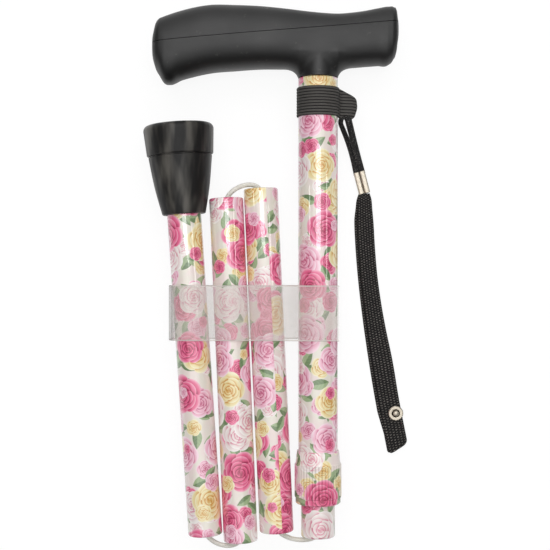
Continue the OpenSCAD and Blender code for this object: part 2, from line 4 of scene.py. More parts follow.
import bmesh
import bpy
import numpy as np
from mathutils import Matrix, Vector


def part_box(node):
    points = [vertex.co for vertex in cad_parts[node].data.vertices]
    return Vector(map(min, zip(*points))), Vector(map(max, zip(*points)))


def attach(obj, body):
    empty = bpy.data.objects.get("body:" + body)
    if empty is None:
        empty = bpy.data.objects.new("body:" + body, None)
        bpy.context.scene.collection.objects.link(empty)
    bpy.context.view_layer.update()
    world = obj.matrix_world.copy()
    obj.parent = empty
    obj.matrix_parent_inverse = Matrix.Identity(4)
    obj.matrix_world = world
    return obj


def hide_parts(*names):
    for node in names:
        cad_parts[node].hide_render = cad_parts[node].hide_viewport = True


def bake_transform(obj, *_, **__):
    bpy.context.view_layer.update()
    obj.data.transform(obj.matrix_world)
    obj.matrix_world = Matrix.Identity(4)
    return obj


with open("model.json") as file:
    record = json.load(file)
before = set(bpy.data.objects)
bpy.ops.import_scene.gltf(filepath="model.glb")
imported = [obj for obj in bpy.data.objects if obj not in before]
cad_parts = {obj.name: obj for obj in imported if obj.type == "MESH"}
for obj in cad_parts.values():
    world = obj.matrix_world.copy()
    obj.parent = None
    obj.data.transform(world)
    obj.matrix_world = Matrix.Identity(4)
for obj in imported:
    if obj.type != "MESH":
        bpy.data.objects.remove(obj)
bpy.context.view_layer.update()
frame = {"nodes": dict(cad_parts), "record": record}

# Camera: straight above the folded cane, with the photo's slight perspective. Image up is +Y. Lengths
# are millimetres, and places start at the middle of the outer tube's top end, unless metres are named.
tube_box = np.array(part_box("outer_tube"))
cane_start = np.array([tube_box[:, 0].mean(), tube_box[1, 1], tube_box[:, 2].mean()])
camera_at, camera_lens, camera_sensor = [-23.885, -109.443, 650], 76.6, 36


def in_row(points):
    """Millimetres from the outer tube's top end, in the cane's plane, as metres in the row."""
    return cane_start + np.asarray(points) * 0.001


def linked(name, data):
    """A new object of that data, added to the scene."""
    thing = bpy.data.objects.new(name, data)
    bpy.context.scene.collection.objects.link(thing)
    return thing


camera = linked("camera", bpy.data.cameras.new("camera"))
camera.location = in_row(camera_at)
camera.data.lens, camera.data.sensor_width = camera_lens, camera_sensor
bpy.context.scene.camera = camera


# Handle: two halves moulded in black satin plastic, clamped along a straight, sloping seam.
# The lower half runs down into a flared neck that sits on the outer tube.
node_slots = {part["node"]: part["material_slot"] for part in frame["record"]["subparts"]}
handle_l, handle_reach, handle_h, handle_drop, handle_w = 134.8, 90.9, 43.4, 3.6, 32.0
handle_square = 2.5
seam_y, seam_tilt, seam_gap = 25.8, radians(5.1), 0.16
neck_r, neck_ease, neck_deep, neck_deepens = 10.5, 9.0, 12.0, 1.4
neck_past, neck_cut_reach, fillet_fade, fillet_front = 6, 25, 8, 0.15
# Shares of the length, of the height for crown and underside, and of the width
handle_shares = np.array([
    [0, 0.636, 0.267, 0.7], [0.009, 0.763, 0.175, 0.82], [0.02, 0.82, 0.118, 0.89],
    [0.038, 0.85, 0.025, 0.945], [0.066, 0.882, 0, 0.975], [0.111, 0.926, 0.058, 0.99],
    [0.16, 0.965, 0.101, 1], [0.229, 1, 0.147, 1], [0.337, 1, 0.177, 0.985],
    [0.44, 0.986, 0.198, 0.95], [0.533, 0.959, 0.198, 0.905], [0.632, 0.922, 0.198, 0.87],
    [0.706, 0.901, 0.203, 0.845], [0.757, 0.894, 0.207, 0.83], [0.809, 0.906, 0.214, 0.825],
    [0.865, 0.929, 0.228, 0.81], [0.92, 0.963, 0.24, 0.78], [0.963, 0.984, 0.249, 0.77],
    [0.984, 0.977, 0.313, 0.72], [0.996, 0.929, 0.415, 0.6], [1, 0.843, 0.521, 0.45]])


def paint(code):
    """The linear colour of a hex code."""
    c = np.array([int(code[i:i + 2], 16) for i in (1, 3, 5)]) / 255
    return (*np.where(c <= 0.04045, c / 12.92, ((c + 0.055) / 1.055) ** 2.4), 1.0)


def squared(c, power):
    """A sine or cosine raised to a power with its sign kept: below 1 it squares a round section."""
    return np.sign(c) * np.abs(c) ** power


def eased(table, at):
    """Smooth curve through the rows of a table, read at the given first-column values.

    Cubic between two rows, with each row's slope the mean of the slopes on its two sides."""
    knots, rows = table[:, 0], table[:, 1:]
    step = np.diff(knots)[:, None]
    slope = np.diff(rows, axis=0) / step
    tangent = np.concatenate([slope[:1], (slope[:-1] * step[1:] + slope[1:] * step[:-1])
                              / (step[1:] + step[:-1]), slope[-1:]])
    i = np.clip(np.searchsorted(knots, at, side="right") - 1, 0, len(knots) - 2)
    h = step[i]
    t = ((at - knots[i]) / h[:, 0])[:, None]
    return (rows[i] * (1 + 2 * t) * (1 - t) ** 2 + rows[i + 1] * t * t * (3 - 2 * t)
            + h * (tangent[i] * t * (1 - t) ** 2 - tangent[i + 1] * t * t * (1 - t)))


def settled(work, mesh, crease):
    """Writes an edited form to its mesh: faces turned outwards, smooth, sharp at angles past the crease."""
    bmesh.ops.recalc_face_normals(work, faces=work.faces)
    work.to_mesh(mesh)
    work.free()
    mesh.polygons.foreach_set("use_smooth", np.ones(len(mesh.polygons), bool))
    mesh.set_sharp_from_angle(angle=radians(crease))
    return mesh


def grid_mesh(name, points, along=False, uv=None, crease=35):
    """Mesh over points[i, j]: a quad between each four neighbours, closed over j, and over i if along.

    uv holds a (u, v) in millimetres for each corner of the unrolled grid. Poles are welded shut."""
    m, n = points.shape[:2]
    i, j = np.meshgrid(np.arange(m - 1 + along), np.arange(n), indexing="ij")
    corners = [(i, j), (i, j + 1), (i + 1, j + 1), (i + 1, j)]
    quads = np.stack([a % m * n + b % n for a, b in corners], -1).reshape(-1, 4)
    mesh = bpy.data.meshes.new(name)
    mesh.from_pydata(in_row(points.reshape(-1, 3)).tolist(), [], quads.tolist())
    if uv is not None:
        flat = np.stack([uv[a, b] for a, b in corners], 2).reshape(-1, 2)
        mesh.uv_layers.new(name="mm").data.foreach_set("uv", flat.astype(np.float32).ravel())
    work = bmesh.new()
    work.from_mesh(mesh)
    bmesh.ops.remove_doubles(work, verts=work.verts, dist=2e-7)
    return settled(work, mesh, crease)


def added(mesh, finish, *nodes):
    """Adds a mesh to the scene, in place of the solids that it stands for."""
    thing = linked(mesh.name, mesh)
    mesh.materials.append(finish)
    if nodes:
        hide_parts(*nodes)
    return thing


def piece(mesh, finish, body, *nodes):
    """Adds a mesh as a piece that rides on one body."""
    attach(added(mesh, finish, *nodes), body)


class Tone:
    """A socket of a material's nodes, so that sums on it are written as formulas."""

    def __init__(self, socket):
        self.socket, self.tree = socket, socket.id_data

    def node(self, kind, settings={}, inputs={}, output=0):
        """Adds a node: its settings first, then the values or links of its sockets.

        The setting "steps" holds the (place, colour) of each step of a colour ramp."""
        made = self.tree.nodes.new("ShaderNode" + kind)
        for key, value in settings.items():
            if key == "steps":
                ramp = made.color_ramp
                ramp.interpolation = "CONSTANT"
                while len(ramp.elements) < len(value):
                    ramp.elements.new(1)
                for element, (place, colour) in zip(ramp.elements, value):
                    element.position, element.color = place, colour
            else:
                setattr(made, key, value)
        for key, value in inputs.items():
            if isinstance(value, Tone):
                self.tree.links.new(value.socket, made.inputs[key])
            else:
                made.inputs[key].default_value = value
        return Tone(made.outputs[output])

    def sum(self, operation, *values):
        """What a maths node makes of these values."""
        return self.node("Math", {"operation": operation}, dict(enumerate(values)))

    def __add__(self, other):
        return self.sum("ADD", self, other)

    def __sub__(self, other):
        return self.sum("SUBTRACT", self, other)

    def __rsub__(self, other):
        return self.sum("SUBTRACT", other, self)

    def __mul__(self, other):
        return self.sum("MULTIPLY", self, other)

    def __truediv__(self, other):
        return self.sum("DIVIDE", self, other)

    def __pow__(self, other):
        return self.sum("POWER", self, other)

    def __lt__(self, other):
        return self.sum("LESS_THAN", self, other)

    __radd__, __rmul__ = __add__, __mul__

    def wave(self):
        return self.sum("COSINE", self)

    def floor(self):
        return self.sum("FLOOR", self)

    def fract(self):
        return self.sum("FRACT", self)

    def size(self):
        return self.sum("ABSOLUTE", self)

    def ease(self, low, high, to_low=0.0, to_high=1.0):
        """Smooth step from to_low at low to to_high at high."""
        return self.node("MapRange", {"interpolation_type": "SMOOTHSTEP"},
                         {0: self, 1: low, 2: high, 3: to_low, 4: to_high})

    def mix(self, a, b):
        """Colour a where this is 0, colour b where it is 1."""
        return self.node("Mix", {"data_type": "RGBA"}, {0: self, 6: a, 7: b}, 2)

    def parts(self):
        """The three numbers of a colour or vector."""
        split = self.node("SeparateXYZ", {}, {0: self}).socket.node
        return [Tone(out) for out in split.outputs]


class Finish:
    """A material: constants on the shader's own sockets, formulas linked into the others."""

    def __init__(self, name, **constants):
        self.material = bpy.data.materials.new(name)
        self.material.use_nodes = True
        self.shader = self.material.node_tree.nodes["Principled BSDF"]
        for key, value in constants.items():
            self.shader.inputs[key.replace("_", " ")].default_value = value
        self.start = Tone(self.shader.outputs[0])

    def place(self):
        """Where a point is in the object, in metres."""
        return self.start.node("TexCoord", {}, {}, 3)

    def mm(self):
        """Where a point is on the unrolled surface, in millimetres."""
        return self.start.node("UVMap", {"uv_map": "mm"}).parts()[:2]

    def noise(self, scale, detail, vector=None):
        """Soft noise from 0 to 1 over the place in the object, or over another vector."""
        return self.start.node("TexNoise", {}, {"Vector": vector or self.place(), "Scale": scale,
                                                "Detail": detail, "Roughness": 0.5})

    def feed(self, **links):
        """Links formulas into the shader's sockets."""
        for key, value in links.items():
            self.material.node_tree.links.new(value.socket, self.shader.inputs[key.replace("_", " ")])

    def raise_by(self, height, distance, strength):
        """Bump from a height of 0 to 1 that stands for a distance in metres."""
        self.feed(Normal=self.start.node("Bump", {}, {"Strength": strength, "Distance": distance,
                                                      "Height": height}))


def handle_form():
    """Loft of squared ellipses over the shares, blended into a round neck below.

    Every ring is widened along its own spokes to where the smooth minimum of the distance to the
    ring and to the neck is zero. The neck is a little deeper than wide; it runs on past the tube's end
    and is cut there. Its fillet is wide at the sides and narrow in front."""
    share = np.concatenate([np.linspace(0, 0.12, 26), np.linspace(0.12, 0.5, 40)[1:],
                            np.linspace(0.5, 0.86, 72)[1:], np.linspace(0.86, 1, 30)[1:]])
    high, low, wide = eased(handle_shares, share).T
    x = share * handle_l - handle_reach
    top, bottom = high * handle_h - handle_drop, low * handle_h - handle_drop
    centre, half_h, half_w = (top + bottom) / 2, (top - bottom) / 2, wide * handle_w / 2
    a = np.linspace(0, 2 * pi, 192, endpoint=False)
    spoke = np.stack([half_h[:, None] * squared(np.cos(a), 2 / handle_square),
                      half_w[:, None] * squared(np.sin(a), 2 / handle_square)], -1)
    reach = np.linalg.norm(spoke, axis=-1)
    spoke = spoke / reach[..., None]
    least_fall, look_past = 0.05, 12
    fall = -spoke[..., 0]
    limit = np.where(fall > least_fall, (centre[:, None] + neck_past) / np.maximum(fall, least_fall),
                     reach + look_past)

    def beyond(t):
        """Smooth minimum of the distances to ring and neck, at t along every spoke."""
        y, z = centre[:, None] + t * spoke[..., 0], t * spoke[..., 1]
        deep = neck_deep + neck_deepens * np.clip(y / centre[:, None], 0, 1)
        neck = np.maximum(np.hypot(x[:, None], z * neck_r / deep) - neck_r, y - centre[:, None])
        k = neck_ease * np.clip((centre[:, None] - y) / fillet_fade, 0.02, 1)
        k = k * (fillet_front + (1 - fillet_front) * np.clip(x[:, None] / neck_r, -1, 1) ** 2)
        body = t - reach
        return np.minimum(body, neck) - np.maximum(k - np.abs(body - neck), 0) ** 2 / (4 * k)

    near, far = reach.copy(), np.maximum(limit, reach)
    for _ in range(40):
        mid = (near + far) / 2
        out = beyond(mid) > 0
        near, far = np.where(out, near, mid), np.where(out, mid, far)
    rings = np.stack([np.broadcast_to(x[:, None], near.shape), centre[:, None] + near * spoke[..., 0],
                      near * spoke[..., 1]], -1)
    cap = lambda ring, away: np.stack([ring.mean(0) + (ring - ring.mean(0)) * s + [away * b, 0, 0]
                                       for s, b in ((0, 0.6), (0.35, 0.55), (0.7, 0.4), (0.9, 0.2))])
    return np.concatenate([cap(rings[0], -1), rings, cap(rings[-1], 1)[::-1]])


def shell(name, *cuts):
    """The handle's form cut by planes of (point, normal, reach), each cut closed by a face.

    A cut reaches only that many millimetres along the handle, to both sides of the tube."""
    mesh = grid_mesh(name, handle_form())
    work = bmesh.new()
    work.from_mesh(mesh)
    for point, normal, reach in cuts:
        near = {v for v in work.verts if abs(v.co.x - cane_start[0]) < reach * 0.001}
        geom = [*near, *(e for e in [*work.edges, *work.faces] if near.issuperset(e.verts))]
        cut = bmesh.ops.bisect_plane(work, geom=geom, plane_co=in_row(point), plane_no=normal,
                                     clear_outer=True)["geom_cut"]
        bmesh.ops.contextual_create(work, geom=[e for e in cut if isinstance(e, bmesh.types.BMEdge)])
    return settled(work, mesh, 35)


satin = Finish("black_satin_plastic", Specular_IOR_Level=0.6)
grain = satin.noise(2600, 2)
rubbed = satin.noise(55, 4)
scuffs = satin.noise(260, 3).ease(0.66, 0.8) * 0.5
moulded = rubbed.ease(0.35, 0.75).mix(paint("#0b0b0b"), paint("#131212"))
satin.feed(Base_Color=scuffs.mix(moulded, paint("#5a5753")),
           Roughness=rubbed.ease(0.3, 0.8, 0.48, 0.42) + grain * 0.06)
satin.raise_by(grain, 0.00006, 0.35)

seam_up = np.array([-sin(seam_tilt), cos(seam_tilt), 0])
seam_at = np.array([0, seam_y, 0])
neck_cut = ([0, 0, 0], [0, -1, 0], neck_cut_reach)
piece(shell("handle_lower", (seam_at - seam_up * seam_gap, seam_up, handle_l), neck_cut),
      satin.material, "handle", "handle_lower_shell")
piece(shell("handle_upper", (seam_at + seam_up * seam_gap, -seam_up, handle_l)),
      satin.material, "handle", "handle_upper_shell")


# Printed tubes: aluminium tube under a glossy film printed with roses, leaves and small blooms on an
# off-white ground. The outer tube holds the handle's spigot.
tube_r, outer_r, tube_wall, tube_edge = 9.5, 11.0, 1.2, 1.1
outer_tube_l, slide_top, slide_end = 224.0, 69.0, 254.5
down = np.array([0.0, -1, 0])


def turned(name, profile, start, way, steps=96, seam=-pi / 2, ribs=None, crease=35):
    """A profile of (radius, along) turned about a line: start + along * way + radius * spoke(angle).

    A profile that ends on the line is closed by its poles, any other closes on itself. ribs gives a depth
    at each angle, which is taken off by the share in the profile's third column."""
    profile, way = np.asarray(profile, float), np.asarray(way, float)
    across = np.array([1.0, 0, 0]) if way[2] else np.array([-way[1], way[0], 0])
    angle = seam + np.linspace(0, 2 * pi, steps, endpoint=False)
    spoke = np.cos(angle)[:, None] * across + np.sin(angle)[:, None] * np.cross(way, across)
    radius = np.broadcast_to(profile[:, 0, None], (len(profile), steps))
    if ribs is not None:
        radius = radius - ribs(angle) * profile[:, 2, None]
    points = np.asarray(start) + profile[:, 1, None, None] * way + radius[..., None] * spoke
    loop = profile[0, 0] > 0
    uv = np.zeros((len(profile) + loop, steps + 1, 2))
    uv[..., 0] = np.linspace(0, 2 * pi, steps + 1) * profile[:, 0].max()
    uv[..., 1] = np.append(profile[:, 1], profile[:1, 1] if loop else [])[:, None]
    return grid_mesh(name, points, along=loop, uv=uv, crease=crease)


def rounded(r, steps):
    """A corner's quarter round, as steps back from the corner: r (1 - cos a) and r (1 - sin a)."""
    a = np.linspace(0, pi / 2, steps)
    return np.stack([r * (1 - np.cos(a)), r * (1 - np.sin(a))], -1)


def tube_profile(r, start, end):
    """Section of a tube as (radius, along), its outer edges rolled in at both ends.

    Two rings past each rolled edge keep the shading straight in between."""
    roll = [r, 0] + rounded(tube_edge, 5) * [-1, 1]
    roll = np.concatenate([[(r, tube_edge + 0.8), (r, tube_edge + 0.4)], roll])
    bore = [(r - tube_wall, end - 0.1), (r - tube_wall, start + 0.1)]
    return np.concatenate([roll[::-1] + [0, start], roll * [1, -1] + [0, end], bore])


film = Finish("rose_print_film", Roughness=0.32, Coat_Roughness=0.03, Coat_IOR=1.55)
film_u, film_v = film.mm()
ground = film.start.node("TexNoise", {"noise_dimensions": "2D"},
                         {"Vector": film.start.node("CombineXYZ", {}, {0: film_u, 1: film_v}),
                          "Scale": 0.09}).ease(0.35, 0.65).mix(paint("#ece6da"), paint("#efdfda"))
# Share of all roses, then dark, middle and light colour of each kind of rose
rose_kinds = [(0.36, "#a92f55", "#ec6a94", "#f8aec6"), (0.24, "#c85a80", "#f3bace", "#fbe0e9"),
              (0.2, "#dd8ea2", "#f2e4e1", "#fcf7f3"), (0.2, "#d59a45", "#f1dfa6", "#f9f1d2")]


def scatter(cell, turn, seed):
    """Square cells on a turned grid: place from the middle of the cell, and three chances per cell."""
    a = (film_u * (cos(turn) / cell)) + (film_v * (sin(turn) / cell)) + 0.37 * seed
    b = (film_v * (cos(turn) / cell)) - (film_u * (sin(turn) / cell)) + 0.61 * seed
    i, j = a.floor(), b.floor()
    index = film.start.node("CombineXYZ", {}, {0: i, 1: j, 2: float(seed)})
    chance = film.start.node("TexWhiteNoise", {"noise_dimensions": "3D"}, {"Vector": index}, 1)
    return (a - i - 0.5) * cell, (b - j - 0.5) * cell, chance.parts()


def with_leaves(below, cell, turn, seed, reach):
    """One leaf per cell: half-width falls off as 1 - s^2 towards both tips, s being -1 to 1 along it.

    The two halves differ in tone, and slanting veins run out from the midrib."""
    x, y, (c1, c2, c3) = scatter(cell, turn, seed)
    room = 0.9 * (cell - 2 * reach)
    x, y, angle = x - (c1 - 0.5) * room, y - (c2 - 0.5) * room, c3 * (2 * pi)
    ca, sa = angle.wave(), (angle - pi / 2).wave()
    p, q = x * ca + y * sa, y * ca - x * sa
    s = p / reach
    q = q + s * s * 0.5
    half = (1 - s * s) * (1 - s * 0.25) * (0.46 * reach)
    side = q.size()
    vein = ((p - side * 0.9) / 2.1).fract().ease(0.75, 1)
    tone = q.ease(-0.3, 0.3, 0.22, 0.78) - vein * 0.25 + (c1 + c2 - 1) * 0.15
    inside = (half - side).ease(0, 0.25) * (s.size() < 1)
    return inside.mix(below, tone.mix(paint("#5e7a50"), paint("#b2c69a")))


# Rings of petals from the outside in: share of the rose's radius, petals, turn, place of the middle
rose_rings = [(1.0, 5, 0.0, 0.0), (0.77, 4, 0.4, 0.03), (0.56, 4, 0.1, 0.06),
              (0.38, 3, 0.7, 0.08), (0.21, 2, 0.3, 0.09)]


def with_roses(below, cell, turn, seed, least, most):
    """One rose per cell, drawn as rings of petals, each ring over the one outside it.

    In a ring f runs from 0 to 1 over each petal, whose rim is at share * (1 - 0.6 (f - 0.5)^2). A petal
    is dark where the next one covers it, paler to its lip, and shades the ring outside it."""
    x, y, (c1, c2, c3) = scatter(cell, turn, seed)
    radius = (c1 * 5.7 + c2 * 2.3).fract() * (most - least) + least
    room = cell - radius * 2.04
    x, y, phase = (x - (c1 - 0.5) * room) / radius, (y - (c2 - 0.5) * room) / radius, c3 * (2 * pi)
    tone = inside = None
    for share, petals, ahead, lift in rose_rings:
        px, py = x - phase.wave() * lift, y - (phase - pi / 2).wave() * lift
        w = (px * px + py * py) ** 0.5
        turned_by = film.start.sum("ARCTAN2", py, px) + phase
        f = (turned_by * (petals / (2 * pi)) + w * 0.5 + ahead + c2).fract()
        s = w / ((1 - (f - 0.5) ** 2 * 0.6) * share)
        lit = (0.14 + 0.5 * share + f.ease(0, 0.4, -0.3, 0) + f.ease(0.5, 1, 0, 0.14)
               + s.ease(0.5, 0.95, -0.1, 0.16) + s.ease(0.9, 0.97, 0, 0.22))
        cover = s.ease(0.97, 1.0, 1, 0)
        tone = lit if tone is None else cover * lit + (1 - cover) * (tone + s.ease(1, 1.35, -0.34, 0))
        inside = inside or cover
    kind = (c1 * 7.13 + c3 * 3.7).fract()
    starts = np.cumsum([0] + [k[0] for k in rose_kinds[:-1]])
    dark, middle, light = [film.start.node("ValToRGB", {"steps": [
        (at, paint(k[n])) for at, k in zip(starts, rose_kinds)]}, {0: kind}) for n in (1, 2, 3)]
    petal = tone.ease(0.45, 0.95).mix(tone.ease(0.0, 0.5).mix(dark, middle), light)
    return inside.mix(below, petal)


# Layers from the ground up: cell, turn of the cells, seed, then half a leaf's length or a rose's least and
# greatest radius
printed = with_leaves(ground, 16, 0.4, 1, 6.5)
printed = with_leaves(printed, 18, 1.1, 2, 6.0)
printed = with_roses(printed, 15.5, 0.9, 3, 4.5, 6.5)
printed = with_leaves(printed, 20, 2.1, 4, 5.2)
printed = with_roses(printed, 26, 0.25, 5, 8.3, 10.8)
printed = with_roses(printed, 28, 1.3, 6, 9.0, 11.6)
printed = with_roses(printed, 23, 0.7, 7, 3.0, 5.4)
# The lock collar has two attributes, which are 0 on the tubes: painted shade in its grooves, and a worn gloss
groove, worn_dull = [film.start.node("Attribute", {"attribute_name": kind}, {}, 2)
                     for kind in ("groove", "worn_dull")]
film.feed(Base_Color=(groove * 0.34).mix(printed, paint("#5d4a49")),
          Coat_Weight=worn_dull.ease(0, 1, 1, 0.25))

piece(turned("outer_tube_film", tube_profile(outer_r, 0, outer_tube_l), [0, 0, 0], down),
      film.material, "handle", "outer_tube")


# Lock collar: a printed plastic nut that turns on a sleeve at the outer tube's end and closes a split
# collet on the sliding tube. Its grip has fine straight ribs between a cone and a plain lip.
collar_at, collar_l, collar_r, collar_cone, collar_lip = 206.6, 29.4, 13.0, 7.2, 3.4
rib_count, rib_depth = 44, 0.32
lip_r, throat_r = collar_r - 0.5, outer_r + 0.12
collar_end = collar_at + collar_l
grip_at, grip_end = collar_at + collar_cone, collar_end - collar_lip
collar_profile = [  # radius, along, share of the rib depth
    (throat_r, collar_at, 0), (throat_r + 0.4, collar_at, 0), (throat_r + 0.55, collar_at + 0.15, 0),
    (lip_r - 0.05, grip_at - 0.5, 0), (lip_r + 0.15, grip_at, 0), (collar_r - 0.1, grip_at + 0.3, 0.3),
    (collar_r, grip_at + 0.7, 1), (collar_r, grip_at + 1.1, 1), (collar_r, grip_end - 1.1, 1),
    (collar_r, grip_end - 0.7, 1), (collar_r - 0.1, grip_end - 0.3, 0.3),
    (lip_r, grip_end, 0), (lip_r, collar_end - 0.7, 0), (lip_r - 0.7, collar_end, 0),
    (tube_r + 0.35, collar_end, 0), (tube_r + 0.3, collar_end - 0.1, 0), (tube_r + 0.3, grip_end, 0),
    (outer_r + 1, grip_end - 0.5, 0), (outer_r + 1, collar_at + 3.5, 0), (throat_r, collar_at + 3.4, 0)]
ribs = lambda angle: rib_depth * np.maximum(np.cos(rib_count * angle), -0.2) ** 2
collar = turned("lock_collar_film", collar_profile, [0, 0, 0], down, rib_count * 8, ribs=ribs, crease=30)
# Painted shade: the print in the grip's rib grooves is darkened by how deep each point is sunk
spots = np.empty(len(collar.vertices) * 3, np.float32)
collar.vertices.foreach_get("co", spots)
x, y, z = (spots.reshape(-1, 3) - cane_start).T * 1000
on_grip = (-y > grip_at + 0.3) & (-y < grip_end - 0.3)
groove_shade_share = on_grip * np.clip((collar_r - np.hypot(x, z)) / rib_depth, 0, 1)
for kind, share in (("groove", groove_shade_share), ("worn_dull", np.ones(len(groove_shade_share)))):
    collar.attributes.new(kind, "FLOAT", "POINT").data.foreach_set("value", share.astype(np.float32))
piece(collar, film.material, "collar", "lock_collar")


# Folding tubes: the sliding tube and three more of the same size, folded to and fro beside it. Each
# leans a little against the one before, as in part of a fan.
def up(lean):
    """The way up along a tube that leans so many degrees to the left."""
    return np.array([-sin(radians(lean)), cos(radians(lean)), 0])


def left_of(way):
    """The way square to another, to its left as seen from above."""
    return np.array([-way[1], way[0], 0])


lean_2, lean_3, lean_4 = 2.7, 2.45, 3.82118
way_2, way_3, way_4 = up(lean_2), -up(lean_3), up(lean_4)
tube_2_l, tube_3_l, tube_4_l, ferrule_l, ferrule_floor = 190.5, 190.5, 178.0, 50.0, 8.5
pitch, collar_gap, step_1, step_2, step_3 = 19.4, 0.4, 2.8, 4.4, 4.4
print_shift = np.array([67.0, 231.0])
end_1 = np.array([0, -slide_end, 0])
mouth_2 = end_1 + [-collar_r - tube_r - collar_gap, step_1, 0]
end_2 = mouth_2 + tube_2_l * way_2
mouth_3 = end_2 + pitch * left_of(way_2) - step_2 * way_2
end_3 = mouth_3 + tube_3_l * way_3
mouth_4 = end_3 - pitch * left_of(way_3) - step_3 * way_3
for number, start, way, span, seam in ((1, [0, 0, 0], down, (slide_top, slide_end), 0.3),
                                       (2, mouth_2, way_2, (0, tube_2_l), 1.9),
                                       (3, mouth_3, way_3, (0, tube_3_l), -2.6),
                                       (4, mouth_4, way_4, (0, tube_4_l + ferrule_l - ferrule_floor), -1.0)):
    node = "inner_tube" if number == 1 else f"tube_{number}"
    mesh = turned(f"{node}_film", tube_profile(tube_r, *span), start, way, seam=seam)
    moved = np.empty(len(mesh.loops) * 2, np.float32)
    mesh.uv_layers["mm"].data.foreach_get("uv", moved)
    moved = moved.reshape(-1, 2) + number * print_shift
    mesh.uv_layers["mm"].data.foreach_set("uv", moved.astype(np.float32).ravel())
    piece(mesh, film.material, f"section_{number}", node)


# Inside the tubes: nylon bushes in the mouths, joint inserts, cord anchors and the split collet, all
# moulded in pale nylon, with steel for the handle's screw and pin and for the washer in the ferrule. The
# collar's sleeve is black plastic. All of them keep the shape of their solids.
nylon = Finish("pale_nylon", Specular_IOR_Level=0.5)
milky = nylon.noise(120, 3)
nylon.feed(Base_Color=milky.mix(paint("#d9d0bb"), paint("#efe8d8")),
           Roughness=milky.ease(0.3, 0.7, 0.38, 0.5))
nylon.raise_by(nylon.noise(1800, 2), 0.00005, 0.2)

steel = Finish("turned_steel", Metallic=1.0)
ringed = steel.noise(900, 2, steel.start.node("Mapping", {}, {0: steel.place(), 3: (1, 12, 1)}))
steel.feed(Base_Color=ringed.mix(paint("#8f9092"), paint("#c6c7c8")),
           Roughness=ringed.ease(0.3, 0.7, 0.25, 0.42))

for name, solid in frame["nodes"].items():
    finish = {"pale_nylon": nylon, "steel": steel, "black_plastic": satin}.get(node_slots[name])
    if finish:
        solid.material_slots[0].material = finish.material


# Shock cord: one white braided elastic that runs through all four tubes, knotted in an anchor at each
# end. It bends from one tube into the next at each fold.
cord_r, cord_depth, cord_out, cord_step, anchor_l = 1.3, 3.0, 1.6, 0.6, 12.0
plait_mm = 1.25
upright = np.array([0, 0, 1.0])


def braided(name, between, lit_thread):
    """Material of a round plait: two sets of strands that cross, with painted glints as light flecks where one
    lies on top.
    """
    cord = Finish(name, Specular_IOR_Level=0.35)
    round_cord, along_cord = cord.mm()
    one_way = ((round_cord + along_cord) / plait_mm).fract().ease(0, 0.5)
    other_way = ((round_cord - along_cord) / plait_mm).fract().ease(0.5, 1)
    plait = (one_way - other_way).size()
    strand = plait * 0.7 + cord.noise(4000, 2) * 0.4
    # Painted glints: light flecks, placed at random, on the strands that lie on top
    strand_glint = cord.noise(1700, 2).ease(0.5, 0.7) * plait
    cord.feed(Base_Color=strand_glint.mix(paint(between), paint(lit_thread)), Roughness=strand.ease(0, 1, 0.8, 0.5))
    cord.raise_by(strand, 0.0002, 0.7)
    return cord.material


white_braid = braided("white_braided_cord", "#e4e0d6", "#f8f6f0")


def swept(name, path, section, reference, scale=None, girth=None, slant=None, crease=60):
    """A closed section of (across, up) carried along a path, upright to the reference direction.

    point = path + across * side + up * lift, where lift is the reference made square to the path and
    side is square to both. scale gives a factor for across and up at each point of the path, slant moves a
    point on along the path by that share of across, and girth is the place round the section for the
    unrolled grid. Both ends are closed."""
    path, section = np.asarray(path, float), np.asarray(section, float)
    way = np.gradient(path, axis=0)
    way /= np.linalg.norm(way, axis=1, keepdims=True)
    lift = reference - way * (way @ reference)[:, None]
    lift /= np.linalg.norm(lift, axis=1, keepdims=True)
    side = np.cross(lift, way)
    scale = np.ones((len(path), 2)) if scale is None else np.asarray(scale, float)
    across, height = (scale[:, None] * section).transpose(2, 0, 1)
    points = path[:, None] + across[..., None] * side[:, None] + height[..., None] * lift[:, None]
    if slant is not None:
        points = points + (slant[:, None] * across)[..., None] * way[:, None]
    pole = lambda i: np.broadcast_to(path[i], (1,) + points.shape[1:])
    points = np.concatenate([pole(0), points, pole(-1)])
    length = np.append(0, np.cumsum(np.linalg.norm(np.diff(path, axis=0), axis=1)))
    if girth is None:
        ring = np.append(section, section[:1], 0)
        girth = np.append(0, np.cumsum(np.linalg.norm(np.diff(ring, axis=0), axis=1)))
    uv = np.stack(np.meshgrid(girth, length[[0, *range(len(length)), -1]]), -1)
    return grid_mesh(name, points, uv=uv, crease=crease)


def oval(wide, high):
    """Points round an ellipse."""
    a = np.linspace(0, 2 * pi, 16, endpoint=False)
    return np.stack([wide / 2 * np.cos(a), high / 2 * np.sin(a)], -1)


def cord_profile(start, end, knot=None):
    """A round cord as (radius, along), with a knot's ball at one place if it has a knot."""
    along = np.linspace(start, end, 160)
    radius = np.full(len(along), cord_r)
    if knot is not None:
        radius = np.maximum(radius, np.sqrt(np.maximum((2 * cord_r) ** 2 - (along - knot) ** 2, 0)))
    return [(0, start), *zip(radius, along), (0, end)]


top_knot, tip_knot = slide_top + anchor_l - 2 * cord_r, tube_4_l + anchor_l + 2 * cord_r
cord_runs = [([0, 0, 0], down, top_knot - 2 * cord_r, slide_end - cord_depth, top_knot),
             (mouth_2, way_2, cord_depth, tube_2_l - cord_depth, None),
             (mouth_3, way_3, cord_depth, tube_3_l - cord_depth, None),
             (mouth_4, way_4, cord_depth, tip_knot + 2 * cord_r, tip_knot)]
for number, (start, way, first, last, knot) in enumerate(cord_runs, 1):
    run = turned(f"cord_run_{number}", cord_profile(first, last, knot), start, way, steps=16, crease=80)
    piece(run, white_braid, f"section_{number}", f"shock_cord_{number}")

